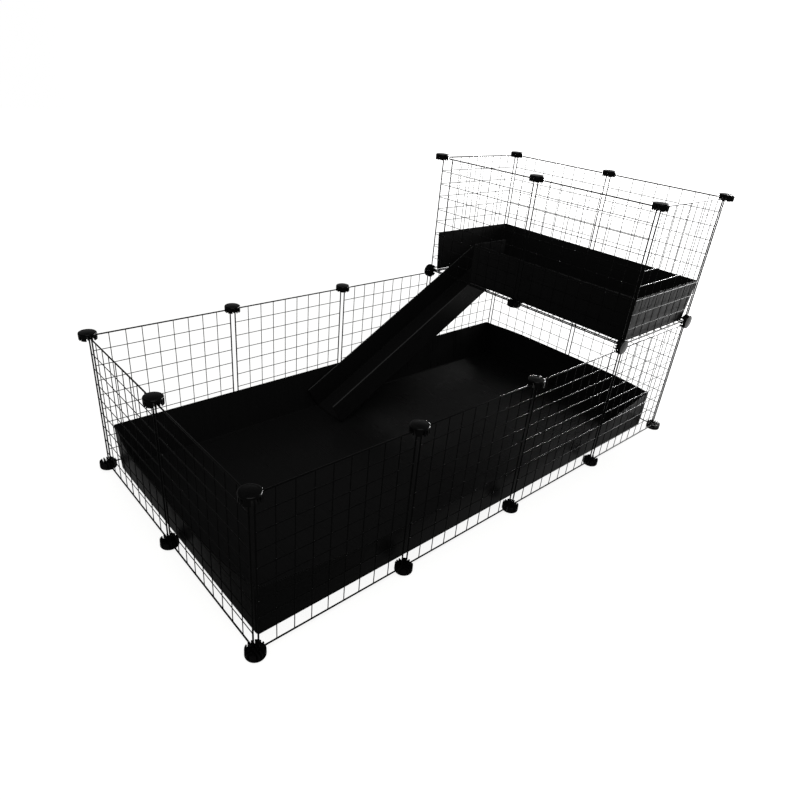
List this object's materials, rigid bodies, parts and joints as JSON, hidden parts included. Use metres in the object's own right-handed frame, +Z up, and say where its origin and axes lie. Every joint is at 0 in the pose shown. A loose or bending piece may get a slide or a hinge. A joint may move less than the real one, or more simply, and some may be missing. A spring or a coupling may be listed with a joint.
{
  "type": "small animal cage",
  "caption": "Open-top wire grid run for small animals, with a raised loft at one end, push-on round connectors, two folded plastic trays and a lifting channel ramp up to the loft.",
  "frame": {"origin": "on the floor, under the middle of the cage", "axes": "+X along the cage towards the end with the loft, +Y from the near side to the far side, +Z up"},
  "size_m": [1.5048, 0.7728, 0.7414],
  "materials": {
    "coated_wire": "black powder coat, satin to glossy",
    "connector_plastic": "glossy black moulded plastic",
    "twin_wall_plastic": "black twin-wall sheet, satin, with fine straight flutes"
  },
  "bodies": {
    "cage": {"base_tray": "twin_wall_plastic", "foot_connectors": "connector_plastic", "loft_far_connectors": "connector_plastic", "loft_floor_far": "coated_wire", "loft_floor_near": "coated_wire", "loft_front_far": "coated_wire", "loft_front_near": "coated_wire", "loft_middle_connectors": "connector_plastic", "loft_near_connectors": "connector_plastic", "loft_right_far": "coated_wire", "loft_right_near": "coated_wire", "loft_side_far": "coated_wire", "loft_side_near": "coated_wire", "loft_tray": "twin_wall_plastic", "rim_connectors": "connector_plastic", "top_connectors": "connector_plastic", "wall_far_1": "coated_wire", "wall_far_2": "coated_wire", "wall_far_3": "coated_wire", "wall_far_4": "coated_wire", "wall_left_far": "coated_wire", "wall_left_near": "coated_wire", "wall_near_1": "coated_wire", "wall_near_2": "coated_wire", "wall_near_3": "coated_wire", "wall_near_4": "coated_wire", "wall_right_far": "coated_wire", "wall_right_near": "coated_wire"},
    "ramp": {"ramp": "twin_wall_plastic"}
  },
  "joints": [
    {"name": "ramp_lift", "type": "hinge", "parent": "cage", "child": "ramp", "pos_m": [0.61006, 0.2715, 0.377], "axis": [0, 1, 0], "range_deg": [0, 3]}
  ]
}
